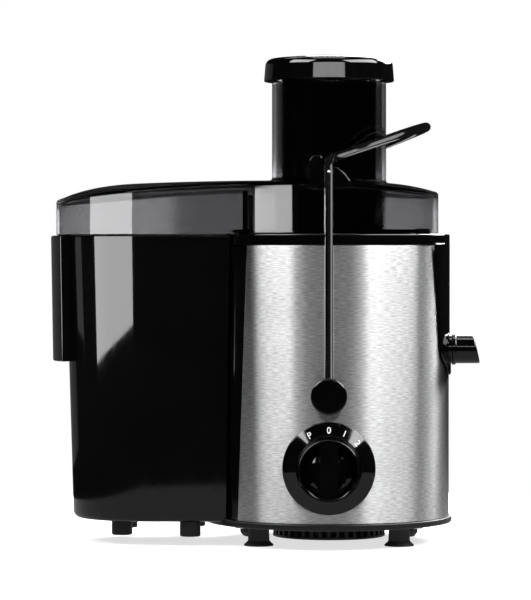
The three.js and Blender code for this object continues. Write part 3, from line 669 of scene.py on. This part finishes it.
def round_corner(radius, z, size, first, way=1):
    """Rows for a quarter turn round a centre on the chute's section, from an angle in degrees."""
    turn = np.radians(first) + way * quarter
    return [with_height(spoke * (radius + size * np.cos(t)), z + size * np.sin(t)) for t in turn]


chute_foot = dome(spoke * (chute_outer + fillet))
under_foot = chute_foot - lid_wall
lip_z = np.interp(lid_plan(0)[:, 0], [-68, -62], [bin_top + 0.2, lid_bottom])
wall_top = dome(outer_edge) - edge_radius
wall_rows = [with_height(lid_plan(0), z) for z in (lip_z + 0.6, lip_z + 1.2, wall_top - 3, wall_top - 0.5)]
edge_rows = [with_height(lid_plan(edge_radius * (1 - np.cos(a))), dome(outer_edge) - edge_radius * (1 - np.sin(a)))
             for a in quarter[:-1]]
top_rows = across(outer_edge, chute_outer + fillet, 18)
foot_rows = round_corner(chute_outer + fillet, chute_foot + fillet, fillet, -90, -1)[1:]
lip = 1.0
mouth_rows = [with_height(spoke * chute_outer, z) for z in (chute_top - 30, chute_top - lip)]
mouth_rows += round_corner(chute_outer - lip, chute_top - lip, lip, 0)[1:]
mouth_rows += round_corner(chute_bore + lip, chute_top - lip, lip, 90)
bore_rows = [with_height(spoke * chute_bore, z) for z in np.linspace(chute_top - 30, chute_bottom + lip, 6)]
tail_rows = round_corner(chute_bore + lip, chute_bottom + lip, lip, 180)[1:]
tail_rows += round_corner(chute_outer - lip, chute_bottom + lip, lip, 270)
under_rows = round_corner(chute_outer + fillet, under_foot - fillet, fillet, 180, -1)
under_rows += across(inner_edge, chute_outer + fillet, 16, lid_wall)[::-1][1:]
inner_radius_edge = 3.0
inner_rows = [with_height(lid_plan(lid_wall + inner_radius_edge * (1 - np.sin(a))),
                          dome(inner_edge) - lid_wall - inner_radius_edge * (1 - np.cos(a))) for a in quarter[1:]]
inner_rows += [with_height(lid_plan(lid_wall), 212.0), with_height(lid_plan(lid_wall), lip_z + 0.6)]
lip_rows = [with_height(lid_plan(lid_wall - 0.6), lip_z), with_height(lid_plan(0.6), lip_z)]
lid_rows = np.stack(wall_rows + edge_rows + top_rows + foot_rows + mouth_rows + bore_rows + tail_rows + under_rows
                    + inner_rows + lip_rows)
lid_quads = grid_faces(*lid_rows.shape[:2], ring=True, tube=True)
build("lid_and_chute", lid_rows.reshape(-1, 3), lid_quads, smoke, "lid", "smoke_plastic", ["lid_cover"], sharp=32)
print("lid", len(lid_rows), "rows by", lid_rows.shape[1], "columns")

# %% Lid ears
ear_in, ear_out, ear_left, ear_right = 56.0, 73.4, -12.8, 13.3
ear_foot, ear_hump, ear_notch = 231.0, 252.0, 245.0
hump = np.column_stack([ear_left + 4.6 - 4.6 * np.cos(quarter), ear_hump - 6 + 6 * np.sin(quarter)])
ramp_t = np.linspace(0, 1, 9)[:, None]
ramp = ((1 - ramp_t) ** 2 * (4.6, ear_notch - 0.5) + 2 * ramp_t * (1 - ramp_t) * (9.8, ear_notch - 3.4)
        + ramp_t ** 2 * (ear_right, 235.5))
saddle = [(-5.6, ear_hump - 0.4), (-4.2, ear_hump - 1.8), (-3.7, ear_notch + 0.4), (-3.2, ear_notch),
          (3.4, ear_notch)]
ear_outline = np.concatenate([[(ear_left, ear_foot)], hump, saddle, ramp, [(ear_right, ear_foot)]])
count = len(ear_outline)
ear_faces = grid_faces(2, count, ring=True).tolist() + [list(range(count)), list(range(2 * count - 1, count - 1, -1))]
for end, side in (("front", -1), ("rear", 1)):
    sides = [np.insert(ear_outline, 1, side * depth, axis=1) for depth in (ear_in, ear_out)]
    ear = build("lid_ear_" + end, np.concatenate(sides), ear_faces, gloss_black, "lid", "gloss_black", sharp=40)
    ear.modifiers.clear()
    softened = ear.modifiers.new("softened", "BEVEL")
    softened.width = 2.6 * MM
    softened.segments = 4
    softened.limit_method = "ANGLE"

# %% Lid crease shade bars
# Painted shade: two opaque black bars stand just inside the lid's wall at the crease, where the round cover meets the
# long one, to darken that line.
crease_shade_bars = box_shell((-55.6, -50.4, 203.5), (-52.2, -48.4, 229.5))
for end, side in (("front", 1), ("rear", -1)):
    build("lid_rib_" + end, crease_shade_bars[0] * (1, side, 1), crease_shade_bars[1], satin_black, "lid", "gloss_black")

# %% [markdown]
# ## Pusher
# A hollow black plunger with a wide cap. Both are spun sections with moulded radii; the cap's edge
# rolls over into a nearly flat top.

# %% Pusher
pusher_section = rounded(
    [(0, 175), (pusher_radius, 175), (pusher_radius, 306), (28.8, 306), (28.8, 177.5), (0, 177.5)],
    [0, 2.5, 0.4, 0.4, 2, 0], 6)
build("pusher_plunger", *spin(pusher_section, 160), gloss_black, "pusher", "gloss_black", ["pusher_body"])
cap_bottom = 302.5
cap_section = rounded([(0, 306.4), (32, 306.4), (32, cap_bottom), (cap_radius, cap_bottom),
                       (cap_radius - 1.2, cap_top - 2.4), (18, cap_top - 0.4), (0, cap_top)],
                      [0, 1, 0.5, 0.8, 5, 14, 0], 10)
build("pusher_top", *spin(cap_section, 180), gloss_black, "pusher", "gloss_black", ["pusher_cap"])

# %% [markdown]
# ## Pulp container
# A deep bin that tapers slightly to its floor, with a bay in its right side that hugs the base. Its
# rows run up the outside, over the rim and down the inside; each row is the plan at that height. The
# grip is a curved shell stood off the left end, open below for the fingers.

# %% Container
bin_bottom, bin_floor, bin_wall, bay_radius = 15.7, 18.7, 2.5, 81.5
half_low, half_top, end_low, end_top = 47.0, 50.5, -121.6, -123.5


def taper(z):
    """How far up the bin a height is, and where the round end's centre lies there."""
    t = (z - bin_bottom) / (bin_top - bin_bottom)
    return t, end_low + (end_top - end_low) * t


def bin_plan(z, inset):
    """The bin's outline at a height, moved in: the bay's arc, a side, the round end and a side."""
    t, end_x = taper(z)
    half = half_low + (half_top - half_low) * t - inset
    bay = bay_radius + inset
    tip = np.degrees(np.arcsin(half / bay))
    bay_arc = circle(0, 0, bay, 180 + tip, 180 - tip, 48)
    end = circle(end_x, 0, half, 90, 270, 80)
    return with_height(joined(bay_arc, end, 12), z)


def flat_row(row):
    """A row squeezed onto its centre line, to close a floor."""
    closed = row.copy()
    closed[:, 1] = 0
    closed[:, 0] = np.clip(closed[:, 0], -125, -95)
    return closed


foot_r, floor_r, rim_r = 4.0, 3.0, 0.8
bin_rows = [flat_row(bin_plan(bin_bottom, 20)), bin_plan(bin_bottom, 20)]
bin_rows += [bin_plan(bin_bottom + foot_r * (1 - np.cos(a)), foot_r * (1 - np.sin(a))) for a in quarter]
bin_rows += [bin_plan(z, 0) for z in np.linspace(24, bin_top - rim_r, 12)]
bin_rows += [bin_plan(bin_top - rim_r + rim_r * np.sin(a), rim_r * (1 - np.cos(a))) for a in quarter[1:]]
bin_rows += [bin_plan(bin_top - rim_r + rim_r * np.cos(a), bin_wall - rim_r + rim_r * np.sin(a)) for a in quarter]
bin_rows += [bin_plan(z, bin_wall) for z in np.linspace(bin_top - 4, 23, 10)]
bin_rows += [bin_plan(bin_floor + floor_r * (1 - np.sin(a)), bin_wall + floor_r * (1 - np.cos(a))) for a in quarter]
bin_rows += [bin_plan(bin_floor, 22), flat_row(bin_plan(bin_floor, 22))]
bin_grid = np.stack(bin_rows)
bin_shell = (bin_grid.reshape(-1, 3), grid_faces(bin_grid.shape[0], bin_grid.shape[1]))
build("bin", *bin_shell, gloss_black, "container", "gloss_black", ["pulp_container"])

# %% Grip
grip_bottom, grip_radius, grip_root, grip_angle = 119.0, 60.0, 46.0, 31.0
grip_wall, grip_edge = 2.2, 1.6


def grip_row(z, back, cols=48):
    """A row of the grip at a height: an arc round the bin's end whose ends turn in to the bin's wall."""
    end_x, radius = taper(z)[1], grip_radius - 0.5 * (bin_top - z) / (bin_top - grip_bottom)
    angle_cut = np.degrees(back / radius)
    first, last = 180 - grip_angle + angle_cut, 180 + grip_angle - angle_cut
    plan = np.concatenate([circle(end_x, 0, grip_root, first, first, 1),
                           circle(end_x, 0, radius - back, first, last, cols),
                           circle(end_x, 0, grip_root, last, last, 1)])
    return with_height(rounded(plan, [0, 2.2] + [0] * (cols - 2) + [2.2, 0], 4), z)


grip_rows = [grip_row(z, grip_wall) for z in (bin_top - grip_wall - 0.2, 160, grip_bottom + 0.6)]
grip_rows += [grip_row(grip_bottom, grip_wall - 0.5), grip_row(grip_bottom, 0.5)]
grip_rows += [grip_row(z, 0) for z in (grip_bottom + 0.6, 160, bin_top - grip_edge)]
grip_rows += [grip_row(bin_top - grip_edge + grip_edge * np.sin(a), grip_edge * (1 - np.cos(a))) for a in quarter[1:]]
top_row = grip_rows[-1].copy()
top_row[:, :2] = (top_row[:, :2] - (end_top, 0)) * 0.82 + (end_top, 0)
low_row = grip_rows[0].copy()
low_row[:, :2] = (low_row[:, :2] - (end_top, 0)) * 0.85 + (end_top, 0)
grip_grid = np.stack([low_row] + grip_rows + [top_row])
build("bin_grip", grip_grid.reshape(-1, 3), grid_faces(*grip_grid.shape[:2], ring=False), gloss_black, "container",
      "gloss_black", ["pulp_container"])

bin_foot = rounded([(0, 6), (6.8, 6), (6.8, 15.9), (0, 15.9)], [0, 1.0, 0, 0], 5)
for i, (x, y) in enumerate([(-135, -27), (-90, -38), (-135, 27), (-90, 38)], start=1):
    points, quads = spin(bin_foot, 56)
    build(f"bin_foot_{i}", points + (x, y, 0), quads, satin_black, "container", "matte_black",
          [f"container_foot_{i}"])

# %% [markdown]
# ## Wire bail
# One chrome wire, bent cold: straight legs, a bend in over each ear, and a wide arc round the chute. A
# circle is carried along a smooth path that runs through the bends' key points.

# %% Bail wire
wire_radius, leg_y, pivot_z = 3.0, 84.0, 99.0
crown_y, crown_z, crown_slope = 64.0, 249.0, 0.369
leg = np.array([(0, -leg_y, pivot_z - 3), (0, -leg_y, 150), (0, -leg_y, 200), (0, -leg_y, 235),
                (0, -leg_y + 1, 243.6), (0.2, -leg_y + 5.6, crown_z - 0.4), (1.6, -leg_y + 12, crown_z + 0.6),
                (7, -crown_y - 2, crown_z + 2.8)])
crown_xy = circle(0, 0, crown_y, -76, 76, 11)
crown = np.column_stack([crown_xy, crown_z + crown_slope * crown_xy[:, 0]])
wire_points = np.concatenate([leg, crown, (leg * (1, -1, 1))[::-1]])


def smooth_path(points, per_span=14):
    """Centripetal Catmull-Rom curve: between two points, a blend of the lines through their neighbours."""
    p = np.vstack([2 * points[0] - points[1], points, 2 * points[-1] - points[-2]])
    knots = np.concatenate([[0], np.cumsum(np.sqrt(np.linalg.norm(np.diff(p, axis=0), axis=1)))])
    out = []
    for i in range(1, len(p) - 2):
        t0, t1, t2, t3 = knots[i - 1:i + 3]
        t = np.linspace(t1, t2, per_span, endpoint=False)[:, None]
        a1 = (t1 - t) / (t1 - t0) * p[i - 1] + (t - t0) / (t1 - t0) * p[i]
        a2 = (t2 - t) / (t2 - t1) * p[i] + (t - t1) / (t2 - t1) * p[i + 1]
        a3 = (t3 - t) / (t3 - t2) * p[i + 1] + (t - t2) / (t3 - t2) * p[i + 2]
        b1 = (t2 - t) / (t2 - t0) * a1 + (t - t0) / (t2 - t0) * a2
        b2 = (t3 - t) / (t3 - t1) * a2 + (t - t1) / (t3 - t1) * a3
        out.append((t2 - t) / (t2 - t1) * b1 + (t - t1) / (t2 - t1) * b2)
    return np.vstack(out + [p[-2][None]])


def tube_along(path, radius, sides=28):
    """A round tube: at each path point, a circle in the plane across the path, turned without twist."""
    heading = np.gradient(path, axis=0)
    heading /= np.linalg.norm(heading, axis=1)[:, None]
    across_dir = np.zeros_like(path)
    across_dir[0] = np.cross(heading[0], (1.0, 0.0, 0.0))
    for i in range(1, len(path)):
        carried = across_dir[i - 1] - heading[i] * (across_dir[i - 1] @ heading[i])
        across_dir[i] = carried / np.linalg.norm(carried)
    across_dir[0] /= np.linalg.norm(across_dir[0])
    third = np.cross(heading, across_dir)
    angle = np.linspace(0, 2 * np.pi, sides, endpoint=False)
    rings = (path[:, None] + radius * (np.cos(angle)[:, None] * across_dir[:, None]
                                       + np.sin(angle)[:, None] * third[:, None]))
    ends = np.repeat(path[[0, -1], None], sides, axis=1)
    grid = np.concatenate([ends[:1], rings, ends[1:]])
    return grid.reshape(-1, 3), grid_faces(grid.shape[0], sides)


build("bail_bent_wire", *tube_along(smooth_path(wire_points), wire_radius), chrome, "bail", "bright_chrome",
      ["bail_wire"])

# %% Pivot caps
cap_profile = rounded([(0, 69.5), (4.1, 69.5), (4.1, 79.8), (11.6, 79.8), (11.6, 92), (0, 92)],
                      [0, 0.4, 0.4, 0.8, 1.3, 0], 6)
for end, side in (("front", -1), ("rear", 1)):
    points, quads = spin(cap_profile, 96)
    build(f"pivot_button_{end}", outward(points, side, pivot_z), quads, gloss_black, "bail", "gloss_black",
          [f"pivot_cap_{end}"])

# %% [markdown]
# ## Dial
# A shallow cone ring stands on the steel, printed with its marks, and a knob with a finger-hold bar
# turns inside it. The knob is a ring, a low dome inside the ring and a bar across the dome.

# %% Dial
dial_z, bezel_radius, bezel_bore, bezel_edge, bezel_face = 52.8, 29.7, 20.4, 79.3, 84.0
knob_radius, knob_back, knob_face, bar_width, bar_height = 19.4, 82.5, 100.0, 11.8, 9.4
bezel_profile = ring_section(
    [(20.2, 72), (bezel_radius, 68), (bezel_radius, bezel_edge), (bezel_bore, bezel_face), (20.2, 80)],
    [0, 0, 1.2, 0.6, 0.2], 5)
points, quads = spin(bezel_profile, 128)
build("dial_ring", outward(points, -1, dial_z), quads, gloss_black, "base", "gloss_black", ["dial_bezel"])
well = knob_radius - 1.5
floor_t = np.linspace(0, 1, 14)
low_dome = np.column_stack([(well - 0.6) * (1 - floor_t), knob_face - bar_height + 6.2 * (1 - (1 - floor_t) ** 2)])
knob_rim = rounded([(0, knob_back), (knob_radius, knob_back), (knob_radius, knob_face), (well, knob_face - 0.5)],
                   [0, 0.3, 0.8, 0], 5)
knob_points, knob_quads = spin(np.vstack([knob_rim, low_dome]), 112)


def grip_bar(rows=40):
    """A bar across the well: rows run along it, and its section is a rounded arch."""
    reach = well + 0.6
    s = np.linspace(-1, 1, rows)
    half = bar_width / 2
    section = rounded([(-half, 0), (-half, bar_height), (half, bar_height), (half, 0)], [0, 1.3, 1.3, 0], 5)
    x = np.broadcast_to(section[:, 0], (rows, len(section)))
    y = s[:, None] * np.sqrt(np.maximum(reach ** 2 - x ** 2, 0))
    z = np.broadcast_to(knob_face - bar_height + section[:, 1], x.shape)
    return np.stack([x, y, z], axis=-1).reshape(-1, 3), grid_faces(rows, len(section), ring=True)


bar_points, bar_quads = grip_bar()
knob_shell, knob_faces = merge_parts([(knob_points, knob_quads), (bar_points, bar_quads)])
build("dial_grip", outward(knob_shell, -1, dial_z), knob_faces, gloss_black, "dial", "gloss_black",
      ["dial_knob"])


def print_mark(text, angle, size=5.7, radius=24.3):
    """A printed mark laid on the bezel's cone, turned to its clock angle from the top."""
    curve = bpy.data.curves.new("mark_text", "FONT")
    curve.body, curve.size, curve.align_x, curve.align_y = text, 1.0, "CENTER", "CENTER"
    curve.extrude = 0.03
    holder = bpy.data.objects.new("mark_text", curve)
    bpy.context.collection.objects.link(holder)
    bpy.context.view_layer.update()
    mesh = bpy.data.meshes.new_from_object(holder)
    bpy.data.objects.remove(holder)
    flat = np.empty(len(mesh.vertices) * 3)
    mesh.vertices.foreach_get("co", flat)
    flat = flat.reshape(-1, 3)
    turn_angle = np.radians(angle)
    along, up = flat[:, 0] * size, flat[:, 1] * size + radius
    x = along * np.cos(turn_angle) + up * np.sin(turn_angle)
    z = up * np.cos(turn_angle) - along * np.sin(turn_angle)
    cone_drop = (np.hypot(x, z) - bezel_bore) * (bezel_face - bezel_edge) / (bezel_radius - bezel_bore)
    y = -(bezel_face - cone_drop) - flat[:, 2] * 1.5 - 0.02
    mesh.vertices.foreach_set("co", ((np.stack([x, y, z + dial_z], axis=1) + AXIS) * MM).ravel())
    mesh.materials.clear()
    mesh.materials.append(white_mark)
    mark = bpy.data.objects.new("dial_mark_" + text, mesh)
    bpy.context.collection.objects.link(mark)
    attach(mark, "base")


for text, angle in (("P", -30), ("0", 0), ("1", 24), ("2", 48)):
    print_mark(text, angle)

# %% Cord inlet
inlet = ring_section([(3.6, 73), (7, 73), (7, 80.6), (9.5, 80.6), (9.5, 82), (6.4, 87), (3.6, 87)],
                     [0.2, 0.2, 0.2, 0.5, 0.5, 1, 0.6], 4)
points, quads = spin(inlet, 64)
build("cord_bush", outward(points, 1, 36), quads, satin_black, "base", "matte_black", ["cord_inlet"])

# %% [markdown]
# ## Studio
# A small pale table inside a white surround. The surround is only there to be looked at: it throws no
# light and shows in no reflection, so glossy black stays black. In reflections a darker disc stands in
# for the table, and screens behind the machine shine through the smoke plastic only. High soft boxes
# light the brushed steel, whose scratches spread them up and down, and skip the lid and the wire. One
# low panel on the left draws a clean band down the container.

# %% Table and surround
def stage_piece(name, points, faces, material):
    """A piece of the studio, in metres from the motor axis."""
    mesh = bpy.data.meshes.new(name)
    mesh.from_pydata(np.asarray(points) + AXIS * MM, [], np.asarray(faces).tolist())
    mesh.shade_smooth()
    mesh.materials.append(material)
    holder = bpy.data.objects.new(name, mesh)
    bpy.context.collection.objects.link(holder)
    return holder


def glowing(name, strength):
    """A surface that only glows."""
    return new_finish(name, Base_Color=(0, 0, 0, 1), Specular_IOR_Level=0.0, Emission_Color=(1, 1, 1, 1),
                      Emission_Strength=strength)[0]


table_radius, globe_radius, screen_y = 0.42, 7.0, 1.6
table_finish, table_tree, table_shader = new_finish(
    "lit table", Roughness=0.85, Specular_IOR_Level=0.1, Emission_Color=(1, 1, 1, 1), Emission_Strength=0.7)
table_tree.links.new(mix_colour(table_tree, add_noise(table_tree, 3, 2), (0.50, 0.50, 0.50), (0.52, 0.52, 0.52)),
                     table_shader.inputs["Base Color"])
disc_points, disc_faces = spin(np.array([(0, 0), (table_radius, 0)]), 160)
table = stage_piece("table", disc_points, disc_faces, table_finish)
table.visible_glossy = False
underlay = stage_piece("table_underlay", disc_points - (0, 0, MM), disc_faces, glowing("underlay glow", 0.42))
underlay.visible_camera = underlay.visible_diffuse = underlay.visible_transmission = underlay.visible_shadow = False

white_surround = glowing("white surround", 1.0)
white_surround.cycles.emission_sampling = "NONE"
tilt = np.radians(np.linspace(-90, 90, 25))
globe_section = globe_radius * np.column_stack([np.cos(tilt), np.sin(tilt)])
surround = stage_piece("surround", *spin(globe_section, 48), white_surround)
surround.visible_glossy = surround.visible_diffuse = surround.visible_transmission = surround.visible_shadow = False

screens = {"screen_left": (-1.2, -0.183, 0.0, 0.28, 4.8), "screen_middle": (-0.183, 0.0, 0.0, 0.28, 1.7),
           "screen_right": (0.0, 1.2, 0.0, 0.28, 3.5), "screen_high": (-1.2, 1.2, 0.28, 0.9, 0.45)}
for name, (left, right, low, high, strength) in screens.items():
    corners = [(left, screen_y, low), (right, screen_y, low), (right, screen_y, high), (left, screen_y, high)]
    screen = stage_piece(name, corners, [[0, 1, 2, 3]], glowing(name + "_glow", strength))
    screen.visible_camera = screen.visible_glossy = screen.visible_diffuse = screen.visible_shadow = False


# %% Lights
def soft_box(name, azimuth, elevation, distance, size, radiance, aim_height=0.16):
    """A soft box round the machine: azimuth 0 is in front and grows to the right, radiance sets its power."""
    a, e = np.radians(azimuth), np.radians(elevation)
    toward = np.array([np.sin(a) * np.cos(e), -np.cos(a) * np.cos(e), np.sin(e)])
    lamp = bpy.data.lights.new(name, "AREA")
    lamp.shape, lamp.size, lamp.size_y = "RECTANGLE", size[0], size[1]
    lamp.energy = radiance * np.pi * size[0] * size[1]
    holder = bpy.data.objects.new(name, lamp)
    bpy.context.collection.objects.link(holder)
    holder.location = toward * distance + AXIS * MM + (0, 0, aim_height)
    holder.rotation_euler = Vector(-toward).to_track_quat("-Z", "Y").to_euler()
    holder.visible_camera = False
    return holder


high_lamps = [
    soft_box("high_left", -57, 40, 1.1, (0.72, 0.6), 11.5),
    soft_box("high_right", 68, 39, 1.1, (1.15, 0.6), 12.0),
    soft_box("overhead", 0, 88, 1.1, (0.55, 0.35), 3.5),
    soft_box("rear_high", 180, 62, 1.3, (1.2, 0.4), 2.0)]
soft_box("front_strip", 0, 18.8, 1.5, (1.5, 0.09), 5.5)
rear_right = soft_box("rear_right", 152, 32, 1.2, (1.2, 0.6), 24.0)
soft_box("rear_left", -142, 4, 1.3, (1.0, 0.6), 0.12)
panel_corners = [(-0.480, -0.143, 0.092), (-0.174, -0.280, 0.129), (-0.174, -0.280, 0.240), (-0.480, -0.143, 0.240)]
panel = stage_piece("low_left_panel", panel_corners, [[0, 1, 2, 3]], glowing("panel glow", 9.0))
panel.visible_camera = panel.visible_transmission = False
wire_side = soft_box("wire_side", 62, 20, 1.0, (0.9, 1.1), 0.3)


def link_light(lamps, pieces, state):
    """Lets the lamps fall on the named pieces only (INCLUDE), or on everything else (EXCLUDE)."""
    group = bpy.data.collections.new(f"{state.lower()}d_by_{lamps[0].name}")
    for name in pieces:
        group.objects.link(bpy.data.objects[name])
    for member in group.collection_objects:
        member.light_linking.link_state = state
    for lamp in lamps:
        lamp.light_linking.receiver_collection = group


link_light([*high_lamps, rear_right], ["lid_and_chute", "bail_bent_wire"], "EXCLUDE")
link_light([underlay], ["dial_grip"], "EXCLUDE")
link_light([panel], ["bin", "bin_grip", "lid_and_chute", "spout_tube", "dial_grip"], "INCLUDE")
link_light([wire_side], ["bail_bent_wire"], "INCLUDE")

world = bpy.data.worlds.new("studio air")
world.use_nodes = True
world.node_tree.nodes["Background"].inputs["Color"].default_value = (1, 1, 1, 1)
world.node_tree.nodes["Background"].inputs["Strength"].default_value = 0.008
bpy.context.scene.world = world
bpy.context.scene.view_settings.view_transform = "Standard"

# %% Camera
camera_back, camera_height, aim_x, aim_z = 2.046, 0.190, -0.0419, 0.1587
camera_data = bpy.data.cameras.new("studio camera")
camera_data.sensor_fit = "VERTICAL"
camera_data.sensor_height = 36.0
camera_data.lens = 186.0
camera = bpy.data.objects.new("studio camera", camera_data)
bpy.context.collection.objects.link(camera)
camera.location = (AXIS[0] * MM, AXIS[1] * MM - camera_back, camera_height)
gaze = Vector((aim_x, camera_back, aim_z - camera_height))
camera.rotation_euler = gaze.to_track_quat("-Z", "Y").to_euler()
bpy.context.scene.camera = camera
